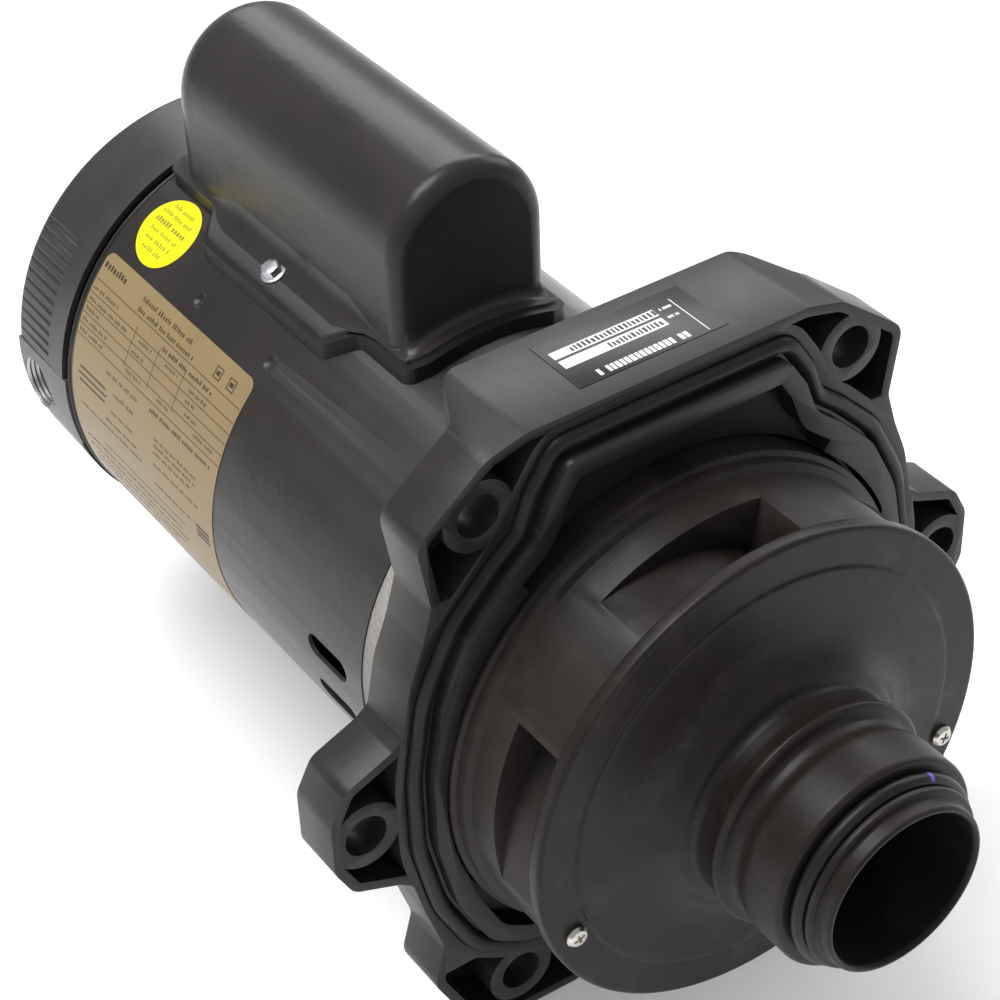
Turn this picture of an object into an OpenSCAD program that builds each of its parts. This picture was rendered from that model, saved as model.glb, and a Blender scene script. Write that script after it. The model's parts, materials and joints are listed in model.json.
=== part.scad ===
// Pool pump power end: motor, seal plate, impeller and diffuser with its suction snout.
// Shaft along Y, suction towards -Y, up is +Z, origin on the shaft axis at the seal plate's front face.

/* [Motor] */
// outside radius of the rolled steel shell
shell_r = 82.5; // [82:0.1:82.8]
// wall thickness of the shell
shell_t = 1.5; // [1.2:0.1:1.5]
// front edge of the shell
shell_y0 = 57; // [56:0.5:60]
// rear edge of the shell
shell_y1 = 262.25; // [261:0.25:262.25]
// front face of the lamination stack
stack_y0 = 138; // [134:1:142]
// length of the lamination stack
stack_len = 80; // [72:1:84]
// rear face of the rear cover
cover_y1 = 303.2; // [303.2:0.2:308]
// number of grip flutes on each side of the rear cover
flute_count = 12; // [4:1:12]
// number of stator slots
slot_count = 24; // [18:6:24]
// number of rotor bars
bar_count = 28; // [20:1:34]
// number of balls in each bearing
ball_count = 8; // [6:1:8]

/* [Capacitor] */
// half width of the capacitor cover
cap_w = 30; // [28:0.5:31]
// height of the centre of the cover's round top
cap_zc = 114.5; // [112:0.5:118]
// front face of the capacitor cover
cap_y0 = 105.5; // [104:0.25:107]
// rear face of the capacitor cover
cap_y1 = 256; // [250:0.5:257]
// sheet thickness of the capacitor cover
cap_t = 1.2; // [0.8:0.1:1.6]
// radius of the capacitor can
can_r = 23; // [20:0.5:23]

/* [Seal plate] */
// depth of the six bolt lobes
lobe_d = 20; // [18:0.5:22]
// depth of the raised block on top
block_d = 40; // [36:1:44]
// radius of the housing bolt holes
hole_r = 7.5; // [5:0.1:7.5]
// outside radius of each bolt boss
boss_r = 12.5; // [11:0.1:12.5]
// half distance between the upper bolt holes
upper_x = 70.8; // [70:0.1:72]
// height of the upper bolt holes
upper_z = 103.3; // [102.5:0.1:104]
// half distance between the middle bolt holes
middle_x = 117; // [116:0.1:118]
// half distance between the lower bolt holes
lower_x = 62; // [61:0.1:63]
// height of the lower bolt holes
lower_z = -97.9; // [-99:0.1:-97]
// width of the housing gasket
gasket_w = 6; // [5:0.1:6]
// radius of the round recess for the diffuser
recess_r = 90.6; // [90.3:0.1:91]
// front face of the rim inside the gasket
rim_y = -5.5; // [-6:0.1:-3]

/* [Wet end] */
// radius of the diffuser's front disc
disc_r = 88; // [86:0.1:90]
// front face of the diffuser disc
disc_y = -50.4; // [-50.4:0.1:-49.8]
// number of diffuser passages
passage_count = 5; // [5:1:5]
// radius of the suction snout's tip
tip_r = 30.2; // [29.8:0.1:30.6]
// radius of the water way through the snout
bore_r = 27.6; // [27:0.1:27.8]
// front end of the snout
tip_y = -115.5; // [-118:0.5:-113]
// radius of the impeller
impeller_r = 61.5; // [56:0.5:63]
// number of impeller vanes
vane_count = 6; // [4:1:7]
// radius of the shaft at the seal
shaft_r = 7.94; // [7.8:0.01:7.94]

/* [Hidden] */
$fn = 72;
arc_steps = 5;
stack_y1 = stack_y0 + stack_len;
rotor_r = 44.1;
stator_bore_r = 44.5;
core_r = shell_r - 1.6;
rotor_bore_r = 12;
bar_r = 1.8;
bar_ring_r = 40.5;
frame_bolt_r = 75;
bearing_or = 20;
bearing_seat_r = 8.5;
bearing_w = 12;
ball_r = 3.3;
ball_pitch_r = 14.25;
groove_r = 3.4;
front_bearing_y = 34;
rear_bearing_y = 246.5;
frame_y0 = 30;
web_y = 14;
plate_bolt_r = 73;
rim_out = 4.3;
rim_w = 6.5;
rear_web_y = 256;
port_y = 289;
port_z = -9;
port_r = 10.5;
cap_screw_a = 66;
cap_screw_y = 176.4;
screw_r = 1.8;
lip_h = 5.5;
flange_r = shell_r + lip_h;
cap_front_r = 7;
cap_rear_r = 14;
can_y0 = 140;
can_y1 = 226;
can_z = 113;
seal_y = 8;
diff_screw_r = 79.7;
diff_screw_a = [200, 340];
ring_y = -23.5;
window_y = -45;
vane_in_r = 64.5;
vane_out_r = 85.5;
window_a = 79;
window_span = 47;
post_z = 60;
plastic = [0.16, 0.16, 0.17];
paint = [0.1, 0.1, 0.11];
steel = [0.72, 0.73, 0.75];
alu = [0.76, 0.76, 0.77];
rubber = [0.08, 0.08, 0.08];
brass = [0.78, 0.62, 0.3];

// ---- outlines with rounded corners, each corner is [x, z, radius], counter-clockwise ----
function unit(v) = v / norm(v);
function turn_of(u, v) = atan2(u[0] * v[1] - u[1] * v[0], u * v);
function leg(a, b) = unit([b[0] - a[0], b[1] - a[1]]);
function arc(c, s, t) = [for (i = [0:arc_steps]) let (a = atan2(s[1], s[0]) + t * i / arc_steps)
    c + norm(s) * [cos(a), sin(a)]];
function corner(a, p, b) = let (u = leg(a, p), v = leg(p, b), t = turn_of(u, v), q = [p[0], p[1]],
    c = q + unit(v - u) * p[2] / cos(t / 2)) arc(c, q - u * p[2] * tan(abs(t) / 2) - c, t);
function rounded(p) = let (n = len(p))
    [for (i = [0:n - 1]) each corner(p[(i + n - 1) % n], p[i], p[(i + 1) % n])];
function moved(a, p, b, d) = let (u = leg(a, p), v = leg(p, b), m = [-u[1] - v[1], u[0] + v[0]],
    q = [p[0], p[1]] + m * 2 * d / (m * m)) [q[0], q[1], max(0.3, p[2] - sign(turn_of(u, v)) * d)];
function inset(p, d) = let (n = len(p))
    [for (i = [0:n - 1]) moved(p[(i + n - 1) % n], p[i], p[(i + 1) % n], d)];
function both_sides(h) = concat(h, [for (i = [len(h) - 1:-1:0]) [-h[i][0], h[i][1], h[i][2]]]);

plate_path = both_sides([[28, -112, 9], [38, -118, 7], [64, -117, 11], [85, -105, 9], [96, -83, 9],
    [91.5, -67, 7], [98, -46, 40], [101.5, -32, 3], [106, -28.5, 5], [123, -21.5, 7],
    [129, -10, 9], [129, 10, 9], [123, 21.5, 7], [106, 28.5, 5], [101.5, 32, 3],
    [98, 50, 40], [92.5, 64, 9], [88.7, 77, 6], [92.7, 102, 7], [67, 122, 12], [53, 125.6, 12]]);
gasket_path = both_sides([[24, -100, 40], [47, -87, 14], [66, -81, 14], [80, -72, 24],
    [92.5, -46, 50], [99, -16, 50], [99, 14, 50], [93.4, 45, 50], [81.5, 68.5, 24],
    [67, 83.2, 12], [57, 91.5, 10], [52.5, 104, 9], [44, 117, 9]]);
block_path = both_sides([[69, 10, 1], [69, lobe_d - 2, 1], [64.8, lobe_d + 2, 4], [56, block_d, 9]]);
bolt_xz = [[upper_x, upper_z], [-upper_x, upper_z], [middle_x, 0], [-middle_x, 0],
    [lower_x, lower_z], [-lower_x, lower_z]];

// ---- helpers ----
module prism_y(y0, y1) translate([0, y1, 0]) rotate([90, 0, 0]) linear_extrude(y1 - y0) children();
module lathe_y() rotate([-90, 0, 0]) rotate_extrude() children();
module tube_y(ro, ri, y0, y1) lathe_y() translate([ri, y0]) square([ro - ri, y1 - y0]);
module rod_y(r, y0, y1, x = 0, z = 0) translate([x, y0, z]) rotate([-90, 0, 0]) cylinder(r = r, h = y1 - y0);
module spin(a) rotate([0, -a, 0]) children();
module around(n, a0 = 0) for (i = [0:n - 1]) spin(a0 + i * 360 / n) children();
module radial(a, y) translate([0, y, 0]) spin(a) rotate([0, 90, 0]) children();
module box(lo, hi) translate(lo) cube(hi - lo);
module hex_y(r, y0, y1) translate([0, y0, 0]) rotate([-90, 0, 0]) cylinder(r = r, h = y1 - y0, $fn = 6);
module sector_y(ro, ri, y0, y1, a0, a1) spin(a1) rotate([-90, 0, 0]) rotate_extrude(angle = a1 - a0)
    translate([ri, y0]) square([ro - ri, y1 - y0]);
module wire(p, r) for (i = [0:len(p) - 2]) {
    d = p[i + 1] - p[i];
    translate(p[i]) sphere(r = r, $fn = 24);
    translate(p[i]) rotate([0, acos(d[2] / norm(d)), atan2(d[1], d[0])]) cylinder(r = r, h = norm(d), $fn = 24);
}

// ---- motor, fixed pieces ----
module vent(a) radial(a, 78.5) {
    translate([0, 0, shell_r - 5]) for (s = [-1, 1]) translate([0, s * 7.5, 0]) cylinder(r = 4.5, h = 10);
    translate([-4.5, -7.5, shell_r - 5]) cube([9, 15, 10]);
}

module motor_shell() color(paint) {
    difference() {
        union() {
            tube_y(shell_r, shell_r - shell_t, shell_y0, shell_y1);
            lathe_y() translate([shell_r - 0.4, shell_y1 - 1]) circle(r = 1);
        }
        for (a = [181, 196, 211, 226, 314, 329, 344, 359]) vent(a);
        for (a = [50, 130, 230, 310], y = [154, 202]) radial(a, y)
            translate([0, 0, shell_r + 4]) sphere(r = 5);
        for (s = [cap_screw_a, 180 - cap_screw_a]) radial(s, cap_screw_y) cylinder(r = screw_r, h = 99);
        translate([0, 240, 70]) cylinder(r = 8, h = 20);
    }
}

module front_end_frame() color(alu) difference() {
    union() {
        tube_y(shell_r - 0.5, 67.5, frame_y0, shell_y0);
        tube_y(core_r, 72, shell_y0, shell_y0 + 6);
        tube_y(71, 25, 34, 40);
        tube_y(26, bearing_or, front_bearing_y, 51);
        tube_y(26, 14, frame_y0, front_bearing_y);
        around(6) box([25, 30, -2.5], [71, 40, 2.5]);
        around(4, 45) rod_y(8, frame_y0, 52, plate_bolt_r);
        around(4) rod_y(5.6, frame_y0, shell_y0 + 6, frame_bolt_r);
    }
    around(4, 45) rod_y(4.76, 0, 54, plate_bolt_r);
    around(4) rod_y(2.4, 46, 70, frame_bolt_r);
    tube_y(21.5, 15, 46.6, 48);
}

module rear_end_frame() color(alu) difference() {
    union() {
        tube_y(core_r, 74, 246, rear_web_y);
        tube_y(core_r, 25, rear_web_y, shell_y1);
        tube_y(26, bearing_or, 245, 260);
        tube_y(26, 10.5, 260, 263);
        for (s = [-1, 1]) rod_y(5, rear_web_y, cover_y1 - 2.7, 0, s * post_z);
        intersection() {
            box([-90, 257, port_z - 15.5], [-66, 301.3, port_z + 15.5]);
            union() {
                rod_y(core_r, 250, 265);
                rod_y(shell_r + 1.4, shell_y1 + 0.3, 305);
            }
        }
    }
    translate([-99, port_y, port_z]) rotate([0, 90, 0]) cylinder(r = port_r, h = 40);
    around(4) rod_y(2.5, 240, 270, frame_bolt_r);
    around(4) rod_y(5.2, shell_y1, 268, frame_bolt_r);
    for (s = [-1, 1]) rod_y(2.4, 286, 305, 0, s * post_z);
    rod_y(4, 250, 270, 16, 64);
}

module cover_profile() polygon(concat([[0, cover_y1]],
    [for (i = [arc_steps:-1:0]) [79.3, cover_y1 - 4] + 4 * [cos(90 * i / arc_steps), sin(90 * i / arc_steps)]],
    [[84, 264.6], [81.6, 264.6], [80.9, 298], [78, 300.7], [0, 300.7]]));

module rear_cover() color(plastic) difference() {
    lathe_y() cover_profile();
    for (i = [0:flute_count - 1], s = [0, 1]) spin(s * 180 + (1 - 2 * s) * (8 + i * 2.9))
        rod_y(1.6, 276, 310, 84.6);
    box([-90, 260, port_z - 15.8], [-60, 301.6, port_z + 15.8]);
    for (s = [-1, 1]) rod_y(2.5, 290, 310, 0, s * post_z);
    for (i = [-3:3]) spin(270 + i * 14) box([26, 290, -2], [48, 310, 2]);
}

module rear_cover_screws() color(steel) for (s = [-1, 1]) translate([0, 0, s * post_z]) {
    rod_y(2.35, 287, cover_y1);
    rod_y(6.4, cover_y1, cover_y1 + 1.2);
    hex_y(4.6, cover_y1 + 1.2, cover_y1 + 4.8);
}

module through_bolts() color(steel) around(4) translate([frame_bolt_r, 0, 0]) {
    rod_y(2.35, 47, shell_y1);
    hex_y(4.5, shell_y1, shell_y1 + 3.4);
}

module slot_shape(g) polygon([[47.4 + g, -1.6 + g], [62.8 - g, -4.4 + g], [62.8 - g, 4.4 - g],
    [47.4 + g, 1.6 - g]]);

module stator_core() color([0.45, 0.45, 0.47]) prism_y(stack_y0, stack_y1) difference() {
    circle(r = core_r);
    circle(r = stator_bore_r);
    for (i = [0:slot_count - 1]) rotate(i * 360 / slot_count) {
        slot_shape(0);
        translate([stator_bore_r - 1, -1.2]) square([5, 2.4]);
    }
    for (i = [0:3]) rotate(i * 90) translate([frame_bolt_r, 0]) circle(r = 2.8);
}

module end_turns(y0, y1) lathe_y() polygon([[49, y0], [47, y0 + 2], [47, y1 - 4], [51, y1], [62, y1],
    [68, y1 - 6], [68, y0 + 4], [64, y0]]);

module stator_windings() color([0.66, 0.33, 0.16]) {
    prism_y(stack_y0 - 4, stack_y1 + 4) for (i = [0:slot_count - 1]) rotate(i * 360 / slot_count)
        slot_shape(0.25);
    translate([0, 2 * stack_y0 - 0.6, 0]) mirror([0, 1, 0]) end_turns(stack_y0, stack_y0 + 25);
    end_turns(stack_y1 + 0.6, stack_y1 + 24);
}

module bearing_ring(y0, ri, ro) difference() {
    tube_y(ro, ri, y0, y0 + bearing_w);
    lathe_y() translate([ball_pitch_r, y0 + bearing_w / 2]) circle(r = groove_r);
}

module balls(y0) around(ball_count) translate([ball_pitch_r, y0 + bearing_w / 2, 0]) sphere(r = ball_r);

module cage(y0) difference() {
    tube_y(15.3, 13.2, y0 + 1.6, y0 + bearing_w - 1.6);
    for (i = [0:ball_count - 1]) radial(i * 360 / ball_count, y0 + bearing_w / 2)
        cylinder(r = ball_r + 0.12, h = 20);
}

module front_bearing_outer() color(steel) bearing_ring(front_bearing_y, 16.4, bearing_or);
module rear_bearing_outer() color(steel) bearing_ring(rear_bearing_y, 16.4, bearing_or);
module front_bearing_inner() color(steel) bearing_ring(front_bearing_y, bearing_seat_r, 12.1);
module rear_bearing_inner() color(steel) bearing_ring(rear_bearing_y, bearing_seat_r, 12.1);
module front_balls() color(steel) balls(front_bearing_y);
module rear_balls() color(steel) balls(rear_bearing_y);
module front_cage() color(brass) cage(front_bearing_y);
module rear_cage() color(brass) cage(rear_bearing_y);
module wave_spring() color(steel) tube_y(19.6, 16.6, 258.6, 259.9);
module retaining_ring() color(steel) tube_y(21.4, 17.5, 46.7, 47.9);

module thermal_protector() color(paint) {
    rod_y(13, 268, 278, -36, 36);
    rod_y(10, 278, 280, -36, 36);
    rod_y(4, shell_y1, 268, -36, 36);
    for (s = [-1, 1]) box([-37.5 + s * 6, 280, 33], [-34.5 + s * 6, 286, 39]);
}

module terminal_board() color([0.5, 0.36, 0.22]) {
    box([24, 270, 4], [64, 273, 44]);
    for (p = [[28, 8], [28, 40], [60, 8]]) rod_y(3.5, shell_y1, 270, p[0], p[1]);
}

module terminal_posts() color(brass) for (x = [34, 44, 54], z = [14, 26, 37])
    if (x + z < 90) rod_y(2.2, 273, 283, x, z);

module switch_base() color([0.3, 0.18, 0.12]) {
    difference() {
        box([-16, shell_y1, -62], [16, 272, -51]);
        rod_y(5.4, 260, 275, 0, -post_z);
    }
    for (s = [-1, 1]) box([s * 8 - 1.6, shell_y1, -52], [s * 8 + 1.6, 268.5, -42]);
    translate([-9.6, 265.4, -46]) rotate([0, 90, 0]) cylinder(r = 1.5, h = 19.2);
}

module switch_arm() color(steel) difference() {
    union() {
        box([-4.5, 264.6, -46], [4.5, 266, -11.5]);
        translate([-4.5, 265.4, -46]) rotate([0, 90, 0]) cylinder(r = 3, h = 9);
    }
    translate([-10, 265.4, -46]) rotate([0, 90, 0]) cylinder(r = 1.56, h = 20);
}

// ---- capacitor under its cover ----
module capacitor() color([0.2, 0.2, 0.22]) {
    rod_y(can_r, can_y0, can_y1, 0, can_z);
    rod_y(can_r - 4, can_y1, can_y1 + 2, 0, can_z);
    for (s = [-1, 1]) box([s * 9 - 3.2, can_y1 + 2, can_z - 0.5], [s * 9 + 3.2, can_y1 + 10, can_z + 0.5]);
}

module capacitor_strap() color(steel) difference() {
    union() {
        translate([0, 0, can_z]) tube_y(can_r + 1.2, can_r, 176, 194);
        box([-14, 176, shell_r], [14, 194, can_z - can_r + 2]);
    }
    rod_y(can_r, 170, 200, 0, can_z);
    rod_y(shell_r, 170, 200);
}

module arch(w, y0, y1, rf, rr, zc) {
    for (e = [[y0, rf, 1], [y1, rr, -1]]) translate([0, e[0] + e[2] * e[1], 0]) {
        translate([0, 0, zc]) rotate([90, 0, 0]) rotate_extrude(angle = 180)
            translate([w - e[1], 0]) circle(r = e[1]);
        for (s = [-1, 1]) translate([s * (w - e[1]), 0, 66]) cylinder(r = e[1], h = zc - 66);
    }
    prism_y(y0 + rf, y1 - rr) arch_face(w, zc);
    prism_y(y0, y0 + rf) arch_face(w - rf, zc);
    prism_y(y1 - rr, y1) arch_face(w - rr, zc);
}

module arch_face(w, zc) {
    intersection() {
        translate([0, zc]) circle(r = w);
        translate([-w, zc]) square([2 * w, w]);
    }
    translate([-w, 66]) square([2 * w, zc - 66]);
}

function flange_half(g) = [[23 + g, 98.6 - 2 * g, 4], [31 + g, 101 - 1.5 * g, 6], [31 + g, 128 - g, 4],
    [41.5 + g, 137 - g, 6], [41.5 + g, 214 + g, 6], [31.8 - 0.5 * g, 225 + g, 5], [31.8 - 0.5 * g, 258, 3]];

module flange_prism(g) translate([0, 0, 60]) linear_extrude(60) polygon(rounded(both_sides(flange_half(g))));

module flange_sheet(ri, ro, g) intersection() {
    tube_y(ro, ri, 80, 270);
    flange_prism(g);
}

module cap_inside() arch(cap_w - cap_t, cap_y0 + cap_t, cap_y1 - cap_t,
    cap_front_r - cap_t, cap_rear_r - cap_t, cap_zc);

module capacitor_cover() color(paint) difference() {
    union() {
        flange_sheet(flange_r, flange_r + cap_t, 0);
        difference() {
            arch(cap_w, cap_y0, cap_y1, cap_front_r, cap_rear_r, cap_zc);
            rod_y(flange_r, 80, 270);
        }
    }
    cap_inside();
    for (a = [cap_screw_a, 180 - cap_screw_a]) radial(a, cap_screw_y) cylinder(r = screw_r, h = 99);
}

module capacitor_gasket() color(rubber) difference() {
    flange_sheet(shell_r, flange_r, 1.6);
    cap_inside();
    for (a = [cap_screw_a, 180 - cap_screw_a]) radial(a, cap_screw_y) cylinder(r = screw_r, h = 99);
}

module capacitor_screws() color(steel) for (a = [cap_screw_a, 180 - cap_screw_a]) radial(a, cap_screw_y) {
    translate([0, 0, shell_r - shell_t + 0.1]) cylinder(r = screw_r - 0.02, h = lip_h + 4);
    translate([0, 0, flange_r + cap_t]) cylinder(r = 4.7, h = 0.9);
    translate([0, 0, flange_r + cap_t + 0.9]) cylinder(r = 3.6, h = 3, $fn = 6);
}

module lead_wires() color([0.7, 0.1, 0.1]) {
    for (s = [-1, 1]) wire([[s * 9, can_y1 + 11.4, can_z], [s * 6, 241, 96], [s * 5, 241, 71]], 1.3);
}

module nameplate() color([0.72, 0.64, 0.42]) sector_y(shell_r + 0.2, shell_r, 153.8, 258.5, 135.5, 214);

module round_sticker() color([0.95, 0.9, 0.1]) intersection() {
    tube_y(shell_r + 0.2, shell_r, 200, 260);
    radial(122.8, 239.2) cylinder(r = 14.4, h = 99);
}

// ---- seal plate ----
module plate_face(d) polygon(rounded(inset(plate_path, d)));
module gasket_face(d) polygon(rounded(inset(gasket_path, d)));

module pockets() difference() {
    plate_face(3.4);
    gasket_face(-6.6);
    for (p = bolt_xz) translate(p) circle(r = boss_r);
    translate([-99, -42]) square([198, 72]);
    translate([-45, 60]) square([90, 80]);
    translate([-100, 31]) square([200, 47]);
    translate([-100, -80]) square([200, 47]);
    translate([-36, -130]) square([72, 50]);
}

module rim_face() difference() {
    gasket_face(rim_out);
    gasket_face(rim_out + rim_w);
}

module pad(a, span) difference() {
    gasket_face(rim_out + 1);
    circle(r = recess_r + 1);
    rotate(a) translate([0, -200]) square([200, 200]);
    rotate(a + span) square([200, 200]);
    translate([-200, -200]) square([400, 200]);
}

module seal_plate() color(plastic) difference() {
    union() {
        difference() {
            union() {
                prism_y(0, lobe_d) plate_face(0);
                intersection() {
                    prism_y(0, block_d) plate_face(0);
                    translate([0, 0, 72]) linear_extrude(60) polygon(rounded(block_path));
                }
                rod_y(84, 10, frame_y0);
            }
            prism_y(-1, 3.35) gasket_face(rim_out);
            rod_y(recess_r, -1, web_y);
            prism_y(-1, 16.5) pockets();
            rod_y(62, 21, 40);
            for (s = [0, 1]) mirror([s, 0, 0]) box([2, 24, 89], [43, 60, 121.5]);
        }
        rod_y(24, 3.4, 22);
        difference() {
            prism_y(rim_y, 5) rim_face();
            rod_y(recess_r, rim_y - 1, web_y);
        }
        prism_y(rim_y, 5) for (s = [0, 1]) mirror([s, 0]) pad(34.8, 16.6);
    }
    prism_y(-1, 4.2) difference() {
        gasket_face(-gasket_w / 2 - 0.2);
        gasket_face(gasket_w / 2 + 0.2);
    }
    for (p = bolt_xz) rod_y(hole_r, -5, 60, p[0], p[1]);
    around(4, 45) rod_y(5.2, 0, 60, plate_bolt_r);
    rod_y(17.5, 0, 18.5);
    rod_y(11, 0, 60);
    for (a = diff_screw_a) spin(a) rod_y(2.1, 0, 60, diff_screw_r);
    rod_y(shell_r + 1.8, frame_y0, 60);
}

module seal_plate_bolts() color(steel) around(4, 45) translate([plate_bolt_r, 0, 0]) {
    rod_y(4.7, web_y, 50);
    rod_y(8, web_y - 1.4, web_y);
    hex_y(7.8, web_y - 6.4, web_y - 1.4);
}

module housing_gasket() color(rubber) for (s = [[0, 0.2, 4.2], [0.5, -1.4, 0.2], [1.2, -2.4, -1.4],
    [2, -3, -2.4]]) prism_y(s[1], s[2]) difference() {
        gasket_face(s[0] - gasket_w / 2);
        gasket_face(gasket_w / 2 - s[0]);
    }

module plate_label() color([0.05, 0.05, 0.05]) box([-28, 8, 125.6], [28, 34, 125.8]);

module ceramic_seat() color([0.9, 0.88, 0.82]) tube_y(15.8, 10.2, seal_y, 17.3);

module seat_cup() color(rubber) difference() {
    tube_y(17.5, 11.5, seal_y + 0.8, 18.5);
    rod_y(15.8, 0, 17.3);
}

// ---- diffuser and suction snout ----
function vane_pt(t) = let (a = window_a + window_span * t,
    r = vane_in_r + 0.4 + (vane_out_r - vane_in_r + 1.2) * pow(t, 0.8)) r * [cos(a), sin(a)];
function ring_arc(r, a0, a1) = [for (i = [0:6]) let (a = a0 + (a1 - a0) * i / 6) r * [cos(a), sin(a)]];

module vane_face() difference() {
    polygon(concat([for (i = [0:10]) vane_pt(i / 10)],
        ring_arc(92, window_a + window_span + 0.5, window_a + 72), ring_arc(60, window_a + 72, window_a)));
    circle(r = vane_in_r + 0.2);
}

module diffuser_body() color(plastic) difference() {
    union() {
        difference() {
            lathe_y() polygon([[vane_in_r, 2], [vane_in_r, ring_y], [vane_out_r, ring_y], [vane_out_r, -11.5],
                [88, -10.5], [88, -6.5], [89.8, -6], [89.8, web_y], [85, web_y], [85, -9], [82, -12], [82, ring_y + 3],
                [vane_in_r + 3, ring_y + 3], [vane_in_r + 3, 2]]);
        }
        for (a = diff_screw_a) spin(a) rod_y(4.6, ring_y + 1, web_y, diff_screw_r);
        intersection() {
            prism_y(window_y, ring_y + 1) for (i = [0:passage_count - 1]) rotate(i * 72) vane_face();
            rod_y(vane_out_r, -60, 0);
        }
    }
    for (a = diff_screw_a) spin(a) rod_y(2.2, -60, 60, diff_screw_r);
}

module snout_profile() polygon([[28.5, window_y], [disc_r, window_y], [disc_r, disc_y + 1], [disc_r - 1, disc_y],
    [74.6, disc_y], [73.9, disc_y - 0.9], [62, disc_y - 1.8], [54, disc_y - 3.2], [49, disc_y - 5.2], [46, disc_y - 7.4],
    [44.6, -59.3], [43.4, -60.8], [41.6, -61.8], [39.6, -62.6], [38.8, -64.5], [38.6, -69], [39.4, -72],
    [40.9, -73.6], [41.1, -75], [40.2, -76.2], [38, -76.9], [36.6, -78], [36.2, -81], [36.8, -83.4],
    [38, -84.6], [38.3, -86.5], [38.3, -100.4], [37.4, -101.8], [30, -101.8],
    [30, -107.3], [32.4, -107.3], [32.8, -107.8], [32.8, -109.4], [32.2, -110], [tip_r, -110.4],
    [tip_r, tip_y + 0.8], [tip_r - 0.8, tip_y], [bore_r + 0.8, tip_y], [bore_r, tip_y + 1.5],
    [bore_r, -54], [28.5, -54]]);

module diffuser_cover() color(plastic) difference() {
    lathe_y() snout_profile();
    for (a = diff_screw_a) spin(a) rod_y(2.2, -60, 0, diff_screw_r);
}

module diffuser_screws() color(steel) for (a = diff_screw_a) spin(a) translate([diff_screw_r, 0, 0]) {
    rod_y(2.05, disc_y - 0.5, 19);
    difference() {
        lathe_y() polygon([[0, disc_y], [3.9, disc_y], [3.9, disc_y - 1.2], [3, disc_y - 2.4], [0, disc_y - 2.8]]);
        for (b = [0, 90]) spin(b) box([-2, disc_y - 5, -0.5], [2, disc_y - 1.2, 0.5]);
    }
}

module nozzle_oring() color(rubber) lathe_y() translate([32.46, -104.6]) circle(r = 2.45);
module wear_ring() color([0.85, 0.84, 0.78]) tube_y(28.5, 25.9, -53.5, -45.5);

// ---- rotating pieces ----
module shaft() color(steel) lathe_y() polygon([[0, -38], [4.7, -38], [5.5, -37], [5.5, -18],
    [shaft_r, -18], [shaft_r, 30],
    [bearing_seat_r, 30], [bearing_seat_r, 46], [10.5, 46], [10.5, 49], [rotor_bore_r, 52], [rotor_bore_r, 238],
    [10.5, 240], [10.5, rear_bearing_y], [bearing_seat_r, rear_bearing_y], [bearing_seat_r, 262], [7.5, 262],
    [7.5, 288], [6.5, 289], [0, 289]]);

module rotor_core() color([0.5, 0.5, 0.52]) prism_y(stack_y0, stack_y1) difference() {
    circle(r = rotor_r);
    circle(r = rotor_bore_r);
    for (i = [0:bar_count - 1]) rotate(i * 360 / bar_count)
        translate([bar_ring_r, 0]) circle(r = bar_r, $fn = 24);
}

module rotor_cage() color(alu) {
    around(bar_count) rod_y(bar_r, stack_y0 - 2, stack_y1 + 2, bar_ring_r, $fn = 24);
    tube_y(43, 30, stack_y0 - 9, stack_y0);
    tube_y(43, 30, stack_y1, stack_y1 + 9);
    around(10) box([31, stack_y0 - 19, -1.2], [42, stack_y0 - 8, 1.2]);
    around(10) box([31, stack_y1 + 8, -1.2], [42, stack_y1 + 19, 1.2]);
}

function blade_pt(t, g) = let (r = 17 + (impeller_r - 17.7) * t, a = -62 * t + g / r * 57.3)
    r * [cos(a), sin(a)];

module impeller_blade() polygon(concat([for (i = [0:10]) blade_pt(i / 10, -1.2)],
    [for (i = [10:-1:0]) blade_pt(i / 10, 1.2)]));

module impeller_back() color(plastic) difference() {
    union() {
        lathe_y() polygon([[0, -45], [4, -44.6], [8, -42.5], [11.5, -37], [14, -28], [18, -23], [impeller_r, -23],
            [impeller_r, -20.4], [20, -20.4], [13, -17], [9.5, -14], [9.5, 6], [0, 6]]);
        prism_y(-39, -22) for (i = [0:vane_count - 1]) rotate(i * 360 / vane_count) impeller_blade();
    }
    rod_y(9, -39.5, -18);
    rod_y(shaft_r, -19, 10);
}

module impeller_front() color(plastic) lathe_y() polygon([[impeller_r, -39], [impeller_r, -41.4], [29, -41.4],
    [25.5, -43.6], [25.5, -52.5], [23, -52.5], [23, -42], [26, -39]]);

module impeller_insert() color(brass) tube_y(9, 5.5, -38.5, -18);

module seal_spring() color(steel) for (i = [0:3]) lathe_y()
    translate([12.2, -12.6 + i * 2.6]) circle(r = 0.75, $fn = 24);
module seal_bellows() color(rubber) lathe_y() polygon([[9.5, -3], [13.6, -3], [13.6, 0], [11.2, 0],
    [11.2, 4.4], [9.5, 4.4]]);
module seal_carbon() color([0.2, 0.2, 0.2]) lathe_y() polygon([[11.2, 0], [14, 0], [14, 5.4],
    [12.8, 6.4], [12.8, 7.96], [10.6, 7.96], [10.6, 5.5], [11.2, 5.5]]);
module shaft_slinger() color(rubber) tube_y(14.5, shaft_r, 24, 27);

module governor() color(steel) {
    tube_y(11, 7.5, 278, 286);
    tube_y(24, 11, 283, 285);
    for (s = [-1, 1]) box([s * 18 - 5, 278.5, -9], [s * 18 + 5, 283, 9]);
}

module switch_collar() color([0.85, 0.82, 0.7]) {
    tube_y(12, 7.56, 266.4, 274);
    tube_y(18.5, 11.8, 266.4, 268.4);
}

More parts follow.
